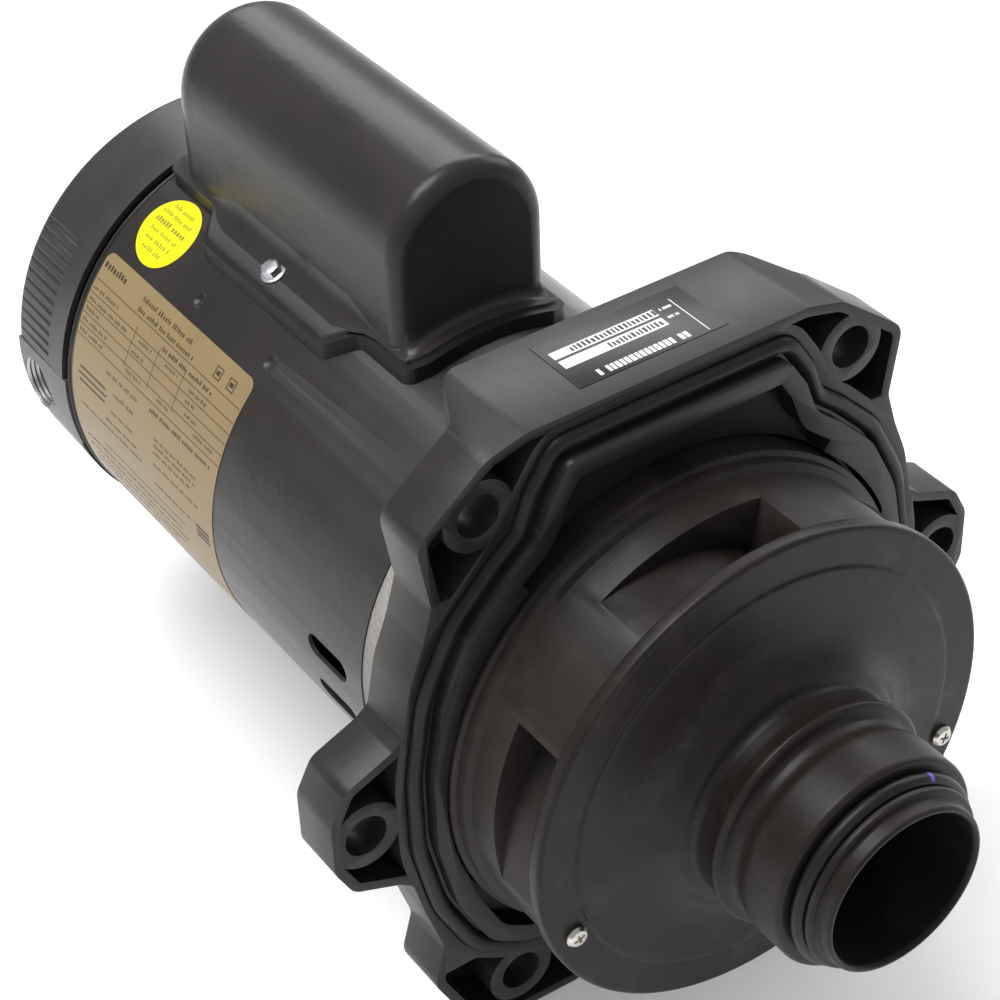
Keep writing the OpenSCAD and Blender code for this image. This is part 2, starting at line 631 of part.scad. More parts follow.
motor_shell();
front_end_frame();
rear_end_frame();
rear_cover();
rear_cover_screws();
through_bolts();
stator_core();
stator_windings();
front_bearing_outer();
rear_bearing_outer();
wave_spring();
retaining_ring();
thermal_protector();
terminal_board();
terminal_posts();
switch_base();
switch_arm();
capacitor();
capacitor_strap();
capacitor_cover();
capacitor_gasket();
capacitor_screws();
lead_wires();
nameplate();
round_sticker();
seal_plate();
seal_plate_bolts();
housing_gasket();
plate_label();
ceramic_seat();
seat_cup();
diffuser_body();
diffuser_cover();
diffuser_screws();
nozzle_oring();
wear_ring();
shaft();
rotor_core();
rotor_cage();
front_bearing_inner();
rear_bearing_inner();
front_balls();
front_cage();
rear_balls();
rear_cage();
impeller_back();
impeller_front();
impeller_insert();
seal_spring();
seal_bellows();
seal_carbon();
shaft_slinger();
governor();
switch_collar();
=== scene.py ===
"""Looks of the pool pump's power end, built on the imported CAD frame."""
import math
import random

import bmesh
import bpy
from mathutils import Matrix, Vector, noise
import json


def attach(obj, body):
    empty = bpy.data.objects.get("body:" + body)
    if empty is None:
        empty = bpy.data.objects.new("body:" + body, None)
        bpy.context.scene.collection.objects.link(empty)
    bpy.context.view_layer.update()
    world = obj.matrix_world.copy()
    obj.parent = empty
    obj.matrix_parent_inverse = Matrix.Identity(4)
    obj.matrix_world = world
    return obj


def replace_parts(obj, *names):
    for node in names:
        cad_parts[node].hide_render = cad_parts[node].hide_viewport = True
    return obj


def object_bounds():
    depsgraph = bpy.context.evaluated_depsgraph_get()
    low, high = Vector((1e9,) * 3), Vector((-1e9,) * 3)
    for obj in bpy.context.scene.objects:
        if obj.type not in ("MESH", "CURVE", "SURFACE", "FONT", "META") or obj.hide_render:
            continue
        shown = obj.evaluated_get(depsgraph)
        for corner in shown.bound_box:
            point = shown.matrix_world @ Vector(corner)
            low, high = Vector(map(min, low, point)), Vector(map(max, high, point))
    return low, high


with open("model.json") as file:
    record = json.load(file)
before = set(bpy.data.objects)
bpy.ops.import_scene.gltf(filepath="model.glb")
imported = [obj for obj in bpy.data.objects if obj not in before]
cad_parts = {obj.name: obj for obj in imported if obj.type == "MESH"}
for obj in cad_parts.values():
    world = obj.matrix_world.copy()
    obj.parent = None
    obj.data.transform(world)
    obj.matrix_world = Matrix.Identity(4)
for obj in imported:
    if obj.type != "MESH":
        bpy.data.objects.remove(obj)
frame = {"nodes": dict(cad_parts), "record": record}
cad_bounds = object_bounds()
nodes = frame["nodes"]
body_of = {n: b for b, ns in frame["record"]["behaviour"]["bodies"].items() for n in ns}
slot_of = {s["node"]: s["material_slot"] for s in frame["record"]["subparts"]}
random.seed(11)
MM = 0.001

# ------------------------------------------------------------------ camera, fitted to the photograph
AZIMUTH, ELEVATION, ROLL = math.radians(-33.401), math.radians(38.276), math.radians(-2.256)
CAMERA_AT = Vector((-0.39491, -0.50334, 0.58153))
SENSOR, LENS, CLIP_END = 36, 94.983, 50

back = Vector((math.sin(AZIMUTH) * math.cos(ELEVATION), -math.cos(AZIMUTH) * math.cos(ELEVATION),
               math.sin(ELEVATION)))
level = Vector((math.cos(AZIMUTH), math.sin(AZIMUTH), 0))
up = back.cross(level)
right = math.cos(ROLL) * level + math.sin(ROLL) * up
top = math.cos(ROLL) * up - math.sin(ROLL) * level
place = Matrix((right, top, back)).transposed().to_4x4()
place.translation = CAMERA_AT

lens = bpy.data.cameras.new("camera")
lens.sensor_width = SENSOR
lens.lens = LENS
lens.clip_end = CLIP_END
camera = bpy.data.objects.new("camera", lens)
camera.matrix_world = place
bpy.context.scene.collection.objects.link(camera)
bpy.context.scene.camera = camera


# ------------------------------------------------------------------ materials
class Nodes:
    """A material's node tree with short calls."""

    def __init__(self, name):
        self.mat = bpy.data.materials.new(name)
        self.mat.use_nodes = True
        self.tree = self.mat.node_tree
        self.bsdf = self.tree.nodes["Principled BSDF"]
        self.pos = self.tree.nodes.new("ShaderNodeTexCoord").outputs["Object"]

    def feed(self, socket, value):
        """Set a socket to a number or a colour, or link another node's output to it."""
        if isinstance(value, (int, float)):
            socket.default_value = value
        elif isinstance(value, tuple):
            socket.default_value = (*value, 1)
        else:
            self.tree.links.new(value, socket)

    def noise(self, scale, detail, rough=0.6, stretch=None, distortion=0):
        """Cloudy noise; stretch gives one scale for each axis."""
        n = self.tree.nodes.new("ShaderNodeTexNoise")
        self.feed(n.inputs["Scale"], scale)
        self.feed(n.inputs["Detail"], detail)
        self.feed(n.inputs["Roughness"], rough)
        self.feed(n.inputs["Distortion"], distortion)
        self.feed(n.inputs["Vector"], self.stretched(stretch))
        return n.outputs["Fac"]

    def stretched(self, scales):
        if scales is None:
            return self.pos
        n = self.tree.nodes.new("ShaderNodeMapping")
        n.inputs["Scale"].default_value = scales
        self.feed(n.inputs["Vector"], self.pos)
        return n.outputs["Vector"]

    def ramp(self, fac, low, high, start=0.0, end=1.0):
        """A value that goes from start to end while its input goes from low to high."""
        n = self.tree.nodes.new("ShaderNodeValToRGB")
        for stop, position, value in zip(n.color_ramp.elements, (low, high), (start, end)):
            stop.position = position
            stop.color = (value, value, value, 1)
        self.feed(n.inputs["Fac"], fac)
        return n.outputs["Color"]

    def math(self, operation, a, b, clamp=False):
        n = self.tree.nodes.new("ShaderNodeMath")
        n.operation = operation
        n.use_clamp = clamp
        self.feed(n.inputs[0], a)
        self.feed(n.inputs[1], b)
        return n.outputs[0]

    def mix(self, fac, a, b):
        """Colour a where fac is 0 and colour b where it is 1."""
        n = self.tree.nodes.new("ShaderNodeMix")
        n.data_type = "RGBA"
        factor, color_a, color_b, color_out = n.inputs[0], n.inputs[6], n.inputs[7], n.outputs[2]
        self.feed(factor, fac)
        self.feed(color_a, a)
        self.feed(color_b, b)
        return color_out

    def over(self, base, mask, amount, color):
        """The base with a colour laid over it where the mask is white."""
        return self.mix(self.math("MULTIPLY", mask, amount), base, color)

    def varied(self, value, *masks):
        """A value with each mask times its amount added, kept from 0 to 1."""
        for mask, amount in masks:
            value = self.math("ADD", self.math("MULTIPLY", mask, amount), value, clamp=True)
        return value

    def specks(self, scale, size, patch_scale, patch_from):
        """Small dots that come in patches."""
        n = self.tree.nodes.new("ShaderNodeTexVoronoi")
        self.feed(n.inputs["Scale"], scale)
        self.feed(n.inputs["Vector"], self.pos)
        dots = self.ramp(n.outputs["Distance"], 0.0, size, 1.0, 0.0)
        patches = self.ramp(self.noise(patch_scale, 2), patch_from, patch_from + 0.1)
        return self.math("MULTIPLY", dots, patches)

    def edges(self, low, high):
        """White on convex edges, black elsewhere."""
        n = self.tree.nodes.new("ShaderNodeNewGeometry")
        return self.ramp(n.outputs["Pointiness"], low, high)

    def bump(self, height, strength, distance, normal=None):
        n = self.tree.nodes.new("ShaderNodeBump")
        self.feed(n.inputs["Strength"], strength)
        self.feed(n.inputs["Distance"], distance)
        self.feed(n.inputs["Height"], height)
        if normal is not None:
            self.feed(n.inputs["Normal"], normal)
        return n.outputs["Normal"]

    def set(self, **values):
        """Feed the named inputs of the material's shader; _ stands for a space."""
        for name, value in values.items():
            self.feed(self.bsdf.inputs[name.replace("_", " ")], value)
        return self.mat


def shade(color, factor, lift=0.0):
    """A lighter or darker version of a colour."""
    return tuple(min(1, c * factor + lift) for c in color)


PLASTIC_DUST, PAINT_DUST, PAINT_WORN = (0.42, 0.41, 0.39), (0.5, 0.49, 0.47), (0.16, 0.16, 0.165)


def plastic(name, color, rough, streak=None, dust=0.35, scuff=0.5, shine=0.5):
    """Moulded glass-filled plastic: fine grain, cloudy sheen, dust, scuffs and lighter worn edges."""
    n = Nodes(name)
    cloud = n.noise(28, 5, 0.65, distortion=0.4)
    grain = n.noise(900, 3, 0.7)
    worn = n.ramp(n.noise(65, 6, 0.7, streak), 0.52, 0.78)
    light = shade(color, 2.6, 0.012)
    base = n.mix(n.ramp(cloud, 0.3, 0.75), shade(color, 0.8), shade(color, 1.25))
    base = n.over(base, worn, scuff * 0.6, light)
    base = n.over(base, n.edges(0.53, 0.62), 0.35, light)
    base = n.over(base, n.specks(420, 0.10, 45, 0.56), dust, PLASTIC_DUST)
    roughness = n.varied(rough - 0.11, (cloud, 0.22), (worn, -0.10 * scuff))
    normal = n.bump(cloud, 0.10, 0.002, n.bump(grain, 0.12, 0.0004))
    return n.set(Base_Color=base, Roughness=roughness, Normal=normal, IOR=1.5, Specular_IOR_Level=shine)


def painted(name, color, rough, shine):
    """Satin black enamel: orange peel, wipe marks, dust specks, worn edges."""
    n = Nodes(name)
    peel = n.noise(420, 2, 0.5)
    cloud = n.noise(16, 5, 0.6, distortion=0.6)
    wipes = n.noise(60, 4, 0.7, (1.0, 0.12, 1.0), distortion=0.3)
    base = n.mix(n.ramp(cloud, 0.3, 0.7), shade(color, 0.8), shade(color, 1.3))
    base = n.over(base, n.edges(0.54, 0.66), 0.4, PAINT_WORN)
    base = n.over(base, n.specks(330, 0.05, 38, 0.58), 0.25, PAINT_DUST)
    roughness = n.varied(rough - 0.08, (wipes, 0.16), (cloud, 0.06))
    normal = n.bump(cloud, 0.12, 0.004, n.bump(peel, 0.10, 0.0006))
    return n.set(Base_Color=base, Roughness=roughness, Normal=normal, IOR=1.5, Specular_IOR_Level=shine)


def metal(name, color, rough, brush=None, grime=0.3, cast=0.0, metallic=1.0):
    """Bare or plated metal with brushing or casting grain, tarnish and bright edges."""
    n = Nodes(name)
    lines = n.noise(700, 3, 0.6, brush)
    cloud = n.noise(55, 5, 0.65)
    base = n.over(color, n.ramp(cloud, 0.42, 0.72, 1.0, 0.0), grime, shade(color, 0.45))
    base = n.over(base, n.edges(0.54, 0.64), 0.5, shade(color, 1.25, 0.05))
    roughness = n.varied(rough - 0.09, (cloud, 0.18), (lines, 0.08))
    normal = n.bump(lines, 0.15 + cast, 0.0003 + cast * 0.0006)
    return n.set(Base_Color=base, Roughness=roughness, Normal=normal, Metallic=metallic)


def rubber(name, color, rough):
    """Dull black rubber with a light bloom in places."""
    n = Nodes(name)
    cloud = n.noise(40, 4, 0.6)
    base = n.over(color, n.ramp(cloud, 0.45, 0.8), 0.3, shade(color, 2.0, 0.01))
    return n.set(Base_Color=base, Roughness=n.varied(rough - 0.1, (cloud, 0.2)),
                 Normal=n.bump(n.noise(1400, 2), 0.1, 0.0003), IOR=1.5, Specular_IOR_Level=0.25)


def film(name, color, rough, mottle=0.12, shine=0.35):
    """Printed film, foil or ink: faint mottle, and an uneven gloss with a fine grain."""
    n = Nodes(name)
    cloud = n.noise(50, 5, 0.6)
    base = n.mix(cloud, shade(color, 1 - mottle), shade(color, 1 + mottle))
    return n.set(Base_Color=base, Roughness=n.varied(rough - 0.1, (cloud, 0.2)),
                 Normal=n.bump(n.noise(1800, 2), 0.06, 0.0002), Specular_IOR_Level=shine)


MATERIALS = {
    "shell_paint": painted("shell_paint_mat", (0.0235, 0.0205, 0.0200), 0.27, 0.25),
    "end_frame_alu": metal("end_frame_mat", (0.25, 0.235, 0.22), 0.5, cast=0.4, grime=0.35, metallic=0.6),
    "rear_frame_alu": metal("rear_frame_mat", (0.10, 0.10, 0.105), 0.45, cast=0.3, grime=0.4, metallic=0.5),
    "cover_plastic": plastic("cover_plastic_mat", (0.0215, 0.0188, 0.0182), 0.40,
                             dust=0.2, scuff=0.3, shine=0.45),
    "zinc": metal("zinc_mat", (0.62, 0.64, 0.68), 0.24, grime=0.35),
    "stainless": metal("stainless_mat", (0.62, 0.60, 0.56), 0.22, grime=0.35),
    "bearing_steel": metal("bearing_mat", (0.7, 0.7, 0.72), 0.12, brush=(1, 12, 1), grime=0.1),
    "shaft_steel": metal("shaft_mat", (0.6, 0.6, 0.62), 0.22, brush=(1, 14, 1), grime=0.15),
    "lamination": metal("lamination_mat", (0.22, 0.22, 0.24), 0.5, brush=(1, 30, 1), grime=0.4),
    "copper_wire": metal("copper_mat", (0.5, 0.17, 0.06), 0.32, brush=(1, 8, 1), grime=0.4, metallic=0.7),
    "rotor_alu": metal("rotor_mat", (0.62, 0.62, 0.64), 0.42, cast=0.4),
    "brass_part": metal("brass_mat", (0.7, 0.5, 0.2), 0.28, grime=0.3),
    "phenolic": plastic("phenolic_mat", (0.10, 0.045, 0.022), 0.45),
    "capacitor_can": plastic("can_mat", (0.02, 0.02, 0.022), 0.3),
    "gasket_rubber": rubber("gasket_mat", (0.009, 0.0086, 0.0082), 0.40),
    "wire_cover": plastic("wire_mat", (0.4, 0.02, 0.02), 0.35),
    "nameplate_foil": film("nameplate_mat", (0.262, 0.192, 0.092), 0.42),
    "sticker_yellow": film("sticker_mat", (0.80, 0.74, 0.012), 0.55, mottle=0.04, shine=0.12),
    "label_black": film("label_black_mat", (0.008, 0.008, 0.009), 0.35, mottle=0.2),
    "plate_plastic": plastic("plate_mat", (0.0178, 0.0155, 0.0142), 0.40, streak=(1, 0.4, 1), shine=0.31),
    "ceramic": film("ceramic_mat", (0.75, 0.72, 0.64), 0.25, mottle=0.05),
    "diffuser_plastic": plastic("diffuser_mat", (0.0148, 0.0120, 0.0106), 0.40, scuff=0.8, shine=0.20),
    "impeller_plastic": plastic("impeller_mat", (0.03, 0.03, 0.031), 0.4),
    "ring_plastic": plastic("ring_mat", (0.5, 0.48, 0.42), 0.4),
    "carbon": plastic("carbon_mat", (0.02, 0.02, 0.021), 0.3),
}
INK = film("ink_mat", (0.052, 0.036, 0.02), 0.5, mottle=0.2)
INK_BLACK = film("ink_black_mat", (0.012, 0.012, 0.012), 0.4, mottle=0.2)
INK_WHITE = film("ink_white_mat", (0.80, 0.80, 0.79), 0.45, mottle=0.05)
INK_OLIVE = film("ink_olive_mat", (0.27, 0.255, 0.02), 0.55, mottle=0.1)


def paint(obj, mat):
    """Give every slot of an object one material."""
    for s in obj.material_slots:
        s.material = mat
    if not obj.material_slots:
        obj.data.materials.append(mat)


for name, node in nodes.items():
    paint(node, MATERIALS[slot_of[name]])


# ------------------------------------------------------------------ mesh helpers
def add(name, bm, slot, mat=None, body="power_end", smooth=True):
    """Turn a bmesh into an object of the model; its material is its slot's unless another is given."""
    bmesh.ops.recalc_face_normals(bm, faces=bm.faces)
    mesh = bpy.data.meshes.new(name)
    bm.to_mesh(mesh)
    bm.free()
    obj = bpy.data.objects.new(name, mesh)
    bpy.context.scene.collection.objects.link(obj)
    for p in mesh.polygons:
        p.use_smooth = smooth
    paint(obj, mat or MATERIALS[slot])
    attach(obj, body)
    return obj


def sharpen(obj, degrees):
    """Shade edges sharper than an angle as hard edges."""
    obj.data.set_sharp_from_angle(angle=math.radians(degrees))


WELD_DISTANCE = 2e-6
FLAT_ANGLE, BEVEL_ANGLE = math.radians(0.4), math.radians(32)


def refined(node, width):
    """A copy of a CAD node with welded vertices, flat faces merged, and rounded edges."""
    bm = bmesh.new()
    bm.from_mesh(nodes[node].data)
    bmesh.ops.remove_doubles(bm, verts=bm.verts, dist=WELD_DISTANCE)
    bmesh.ops.dissolve_limit(bm, angle_limit=FLAT_ANGLE, verts=bm.verts, edges=bm.edges)
    obj = add(node + "_look", bm, slot_of[node], body=body_of[node])
    bevel = obj.modifiers.new("bevel", "BEVEL")
    bevel.width = width * MM
    bevel.segments = 2
    bevel.limit_method = "ANGLE"
    bevel.angle_limit = BEVEL_ANGLE
    bevel.use_clamp_overlap = True
    bevel.harden_normals = False
    bevel.miter_outer = "MITER_ARC"
    bpy.context.view_layer.objects.active = obj
    with bpy.context.temp_override(object=obj, active_object=obj, selected_objects=[obj]):
        bpy.ops.object.modifier_apply(modifier=bevel.name)
    sharpen(obj, 35)
    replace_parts(obj, node)


# from here on, all lengths in the script are millimetres, except in the stage and the lights
BEVELS = {"seal_plate": 0.7, "capacitor_screws": 0.25, "diffuser_screws": 0.2, "diffuser_body": 0.35,
          "rear_cover_screws": 0.25, "front_end_frame": 0.4, "plate_label": 0.05}
for name, width in BEVELS.items():
    refined(name, width)


def rounded(points, steps):
    """An anticlockwise outline as a list of vectors, from corners of [x, z or y, radius]."""
    out = []
    for i, corner in enumerate(points):
        a, p, b = (Vector(points[(i + k) % len(points)][:2]) for k in (-1, 0, 1))
        u, v = (p - a).normalized(), (b - p).normalized()
        turn = math.atan2(u.x * v.y - u.y * v.x, u.dot(v))
        start = p - u * corner[2] * math.tan(abs(turn) / 2)
        centre = start + Vector((-u.y, u.x)) * math.copysign(corner[2], turn)
        for k in range(steps + 1):
            out.append(centre + Matrix.Rotation(turn * k / steps, 2) @ (start - centre))
    return out


def both_sides(half):
    """A half outline and its mirror image across x = 0."""
    return half + [[-x, z, r] for x, z, r in reversed(half)]


def outward(path, i):
    """The direction that points out of an anticlockwise closed path at its point i."""
    along = (path[(i + 1) % len(path)] - path[i - 1]).normalized()
    return Vector((along.y, -along.x))


CORNER_REACH, EDGE_SHARE, CURVE_STEPS = 0.8, 0.42, 3


def softened(profile):
    """A closed (r, y) profile with every corner replaced by a short curve."""
    out = []
    for i in range(len(profile)):
        a, p, b = (Vector(profile[(i + k) % len(profile)]) for k in (-1, 0, 1))
        start = p + (a - p).normalized() * min(CORNER_REACH, EDGE_SHARE * (a - p).length)
        end = p + (b - p).normalized() * min(CORNER_REACH, EDGE_SHARE * (b - p).length)
        for k in range(CURVE_STEPS + 1):
            t = k / CURVE_STEPS
            out.append(start * (1 - t) ** 2 + p * 2 * t * (1 - t) + end * t * t)
    return out


def vertices(bm, rows):
    """Rows of points in millimetres as rows of a bmesh's vertices."""
    return [[bm.verts.new(Vector(p) * MM) for p in row] for row in rows]


def join_rows(bm, here, there):
    """Quads between two closed rows of vertices."""
    for j in range(len(here)):
        k = (j + 1) % len(here)
        bm.faces.new((here[j], here[k], there[k], there[j]))


def skin(bm, rows):
    """A closed tube: quads over rows of points, with the last row joined to the first."""
    grid = vertices(bm, rows)
    for i, here in enumerate(grid):
        join_rows(bm, here, grid[(i + 1) % len(grid)])


def stick(bm, rows):
    """A solid with an end face on its first and on its last row of points."""
    grid = vertices(bm, rows)
    for here, there in zip(grid, grid[1:]):
        join_rows(bm, here, there)
    bm.faces.new(grid[0])
    bm.faces.new(reversed(grid[-1]))


def around(profile, angle):
    """A (r, y) profile's points at one angle round the shaft's axis."""
    return [(r * math.cos(angle), y, r * math.sin(angle)) for r, y in profile]


def lathe(name, profile, slot, segments):
    """A solid of revolution about the shaft's axis."""
    bm = bmesh.new()
    skin(bm, [around(profile, 2 * math.pi * i / segments) for i in range(segments)])
    obj = add(name, bm, slot)
    sharpen(obj, 50)
    return obj


# ------------------------------------------------------------------ diffuser's snout and its o-ring
DISC_R, BARREL_R, SEAT_R, LIP_R, TIP_R, BORE_R = 88, 38.3, 30, 32.8, 30.2, 27.6
ORING_R, ORING_Y, ORING_THICK = 32.46, -104.6, 2.45
MARK_INSIDE, MARK_OUTSIDE = 2.43, 2.49
MARK_FROM, MARK_STEP, MARK_STEPS = 60.5, 0.7, 4

# the front disc and the snout, as a profile of (radius, y) points
SNOUT = [
    # the disc, from its hole to its rim
    (28.5, -45), (DISC_R, -45), (DISC_R, -49.4), (87, -50.4),
    # a step, and the sweep up to the neck
    (74.6, -50.4), (73.9, -51.3), (68, -51.7), (62, -52.3), (57.5, -52.8), (54, -53.6), (51.2, -54.5),
    (49, -55.6), (47.2, -56.7), (46, -57.8), (44.6, -59.3), (43.4, -60.8), (41.6, -61.8), (39.6, -62.6),
    # the neck and its collar
    (38.8, -64.5), (38.6, -69), (39.4, -72), (40.9, -73.6), (41.1, -75), (40.2, -76.2), (38, -76.9),
    # the waist
    (36.6, -78), (36.2, -81), (36.8, -83.4), (38, -84.6),
    # the barrel
    (BARREL_R, -86.5), (BARREL_R, -100.4), (37.4, -101.8),
    # the o-ring's seat and the lip before it
    (SEAT_R, -101.8), (SEAT_R, -107.3), (32.4, -107.3), (LIP_R, -107.8), (LIP_R, -109.4), (32.2, -110),
    # the tip and the bore
    (TIP_R, -110.4), (TIP_R, -114.7), (29.4, -115.5), (28.4, -115.5), (BORE_R, -114), (BORE_R, -54),
    (28.5, -54)]


def oring_point(radius, degrees):
    """A point of the o-ring's section, at a distance and a direction from its centre."""
    a = math.radians(degrees)
    return (ORING_R + radius * math.cos(a), ORING_Y + radius * math.sin(a))


def oring_mark():
    """A stroke of violet marker across the o-ring."""
    section = [oring_point(MARK_INSIDE, a) for a in range(-70, 31, 20)]
    section += [oring_point(MARK_OUTSIDE, a) for a in range(30, -71, -20)]
    bm = bmesh.new()
    stick(bm, [around(section, math.radians(MARK_FROM + MARK_STEP * k)) for k in range(MARK_STEPS + 1)])
    add("oring_mark", bm, "gasket_rubber", film("violet_mat", (0.12, 0.08, 0.42), 0.5, mottle=0.3))


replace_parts(lathe("snout_look", softened(SNOUT), "diffuser_plastic", 200), "diffuser_cover")
oring = [oring_point(ORING_THICK, 15 * k) for k in range(24)]
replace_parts(lathe("oring_look", oring, "gasket_rubber", 160), "nozzle_oring")
oring_mark()

# ------------------------------------------------------------------ housing gasket
GASKET_HALF = [[24, -100, 40], [47, -87, 14], [66, -81, 14], [80, -72, 24], [92.5, -46, 50], [99, -16, 50],
               [99, 14, 50], [93.4, 45, 50], [81.5, 68.5, 24], [67, 83.2, 12], [57, 91.5, 10], [52.5, 104, 9],
               [44, 117, 9]]
BEAD_HALF, BEAD_RISE = 2.95, 3.2
FOOT_HALF, FOOT_Y, SHOULDER_Y, ARCH_Y, CREST_Y = 2.9, 4.0, 0.3, 0.2, -2.9
WOBBLE, WOBBLE_SCALE, WOBBLE_SEED = 0.12, 0.08, 3.1


def gasket():
    """The housing gasket as one round bead that is a little uneven beside its crest."""
    arch = [(-BEAD_HALF * math.cos(math.radians(a)), ARCH_Y - BEAD_RISE * math.sin(math.radians(a)))
            for a in range(15, 180, 15)]
    bead = [(-FOOT_HALF, FOOT_Y), (-BEAD_HALF, SHOULDER_Y)] + arch
    bead += [(BEAD_HALF, SHOULDER_Y), (FOOT_HALF, FOOT_Y)]
    path = rounded(both_sides(GASKET_HALF), 8)
    rows = []
    for i, p in enumerate(path):
        out = outward(path, i)
        wobble = WOBBLE * noise.noise(Vector((p.x * WOBBLE_SCALE, p.y * WOBBLE_SCALE, WOBBLE_SEED)))
        rows.append([(p.x + out.x * o, y - wobble if CREST_Y < y < 0 else y, p.y + out.y * o)
                     for o, y in bead])
    bm = bmesh.new()
    skin(bm, rows)
    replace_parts(add("gasket_look", bm, "gasket_rubber"), "housing_gasket")


gasket()

# ------------------------------------------------------------------ capacitor cover's fillet
FLANGE_R = 89.2
WALL, WALL_FRONT, WALL_BACK = 30.0, 105.5, 256
FRONT_CORNER, BACK_CORNER = 7, 14
PLAN_STEP, FILLET_STEPS = 6, 8
FRONT_REACH, SIDE_REACH, BACK_REACH, SIDE_FACING = 4.2, 8.0, 0.9, 0.7
SIDE_GROWS_FROM, SIDE_GROWS_OVER, SIDE_SHARE = 96, 40, 0.4
# where the flange leaves the sides less room, over what length, and how much
FRONT_NARROWS, BACK_NARROWS, NARROWING = 122, 214, 14
BACK_LOSS, FRONT_LEFT, FRONT_GAIN, FRONT_LEAST = 6.9, 1.2, 6.8, 1.4
RISE_PER_REACH, WALL_OVERLAP, FLANGE_OVERLAP = 1.1, 0.12, 0.06
INNER_DEPTH, BURIED_DEPTH, BURIED_SHARE, TOP_DROP = 0.7, 0.6, 0.6, 0.3


def clamped(x):
    return max(0.0, min(1.0, x))


def flange_z(x):
    return math.sqrt(FLANGE_R ** 2 - x ** 2)


def fillet_reach(p, out):
    """How far the fillet spreads from the wall at p: most on the sides, less towards both ends."""
    grown = clamped((p.y - SIDE_GROWS_FROM) / SIDE_GROWS_OVER + SIDE_SHARE)
    reach = (FRONT_REACH * max(0, -out.y) + abs(out.x) * SIDE_REACH * grown
             + BACK_REACH * max(0, out.y))
    if p.y > BACK_NARROWS:
        reach = min(reach, SIDE_REACH - BACK_LOSS * clamped((p.y - BACK_NARROWS) / NARROWING))
    if abs(out.x) <= SIDE_FACING or p.y >= FRONT_NARROWS + NARROWING:
        return reach
    if p.y <= FRONT_NARROWS:
        return min(reach, FRONT_LEAST)
    return min(reach, FRONT_LEFT + FRONT_GAIN * ((p.y - FRONT_NARROWS) / NARROWING))


def fillet_row(p, out):
    """The fillet's section at one point of the wall: a hollow curve, and edges buried below it."""
    reach = fillet_reach(p, out)
    base = flange_z(p.x)
    tall = base + reach * RISE_PER_REACH
    row = []
    for k in range(FILLET_STEPS + 1):
        t = k / FILLET_STEPS
        q = p + out * (-WALL_OVERLAP + reach * t * t)
        ground = flange_z(q.x)
        row.append((q.x, q.y, ground - FLANGE_OVERLAP + (tall - base) * (1 - t) ** 2))
    inner = p - out * INNER_DEPTH
    row.append((p.x + out.x * reach * BURIED_SHARE, p.y + out.y * reach * BURIED_SHARE,
                ground - BURIED_DEPTH))
    row.append((inner.x, inner.y, base - BURIED_DEPTH))
    row.append((inner.x, inner.y, tall - TOP_DROP))
    return row


def cover_fillet():
    """The drawn fillet where the capacitor cover's walls turn into its flange."""
    plan = rounded([[-WALL, WALL_FRONT, FRONT_CORNER], [WALL, WALL_FRONT, FRONT_CORNER],
                    [WALL, WALL_BACK, BACK_CORNER], [-WALL, WALL_BACK, BACK_CORNER]], 10)
    dense = []
    for i, p in enumerate(plan):
        q = plan[(i + 1) % len(plan)]
        pieces = max(1, int((q - p).length / PLAN_STEP))
        dense += [p.lerp(q, k / pieces) for k in range(pieces)]
    bm = bmesh.new()
    skin(bm, [fillet_row(p, outward(dense, i)) for i, p in enumerate(dense)])
    add("cover_fillet", bm, "shell_paint")


cover_fillet()

# ------------------------------------------------------------------ nameplate and sticker on the shell
SHELL_R, FOIL_R = 82.5, 82.7
INK_LOW_R, INK_HIGH_R = 82.66, 82.745
PLATE_FROM, PLATE_TO, PLATE_Y0, PLATE_Y1, PLATE_CORNER = 135.5, 214.0, 153.8, 258.5, 4.0
PLATE_STEPS, CORNER_STEPS = 96, 8
STICKER_A, STICKER_Y, STICKER_R = 122.8, 239.2, 14.4
STICKER_STEPS = 48


def turned(length):
    """The angle in degrees that a length covers on the labels' surface."""
    return math.degrees(length / FOIL_R)


def curved_strip(bm, columns, r0, r1):
    """A thin curved solid; columns are (angle, y low, y high) around the shell."""
    stick(bm, [around(((r0, low), (r1, low), (r1, high), (r0, high)), math.radians(angle))
               for angle, low, high in columns])


def label(name, slot, columns, node):
    """A foil label on the shell, in place of a CAD node."""
    bm = bmesh.new()
    curved_strip(bm, columns, SHELL_R, FOIL_R)
    obj = add(name, bm, slot)
    sharpen(obj, 40)
    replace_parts(obj, node)


def nameplate_columns():
    """The nameplate's outline, with closer columns over its round corners."""
    total = math.radians(PLATE_TO - PLATE_FROM) * FOIL_R
    columns = []
    for k in range(PLATE_STEPS + 1):
        from_end = min(k, PLATE_STEPS - k)
        s = total * k / PLATE_STEPS
        if from_end <= CORNER_STEPS:
            edge = PLATE_CORNER * (1 - math.cos(math.pi / 2 * from_end / CORNER_STEPS))
            s = edge if k <= CORNER_STEPS else total - edge
        short = max(0.0, PLATE_CORNER - min(s, total - s))
        cut = PLATE_CORNER - math.sqrt(max(0.0, PLATE_CORNER ** 2 - short ** 2))
        columns.append((PLATE_FROM + turned(s), PLATE_Y0 + cut, PLATE_Y1 - cut))
    return columns


def sticker_columns():
    """The round sticker's outline."""
    columns = []
    for k in range(STICKER_STEPS + 1):
        s = -STICKER_R * math.cos(math.pi * k / STICKER_STEPS)
        half = max(0.05, math.sqrt(max(0, STICKER_R ** 2 - s * s)))
        columns.append((STICKER_A + turned(s), STICKER_Y - half, STICKER_Y + half))
    return columns


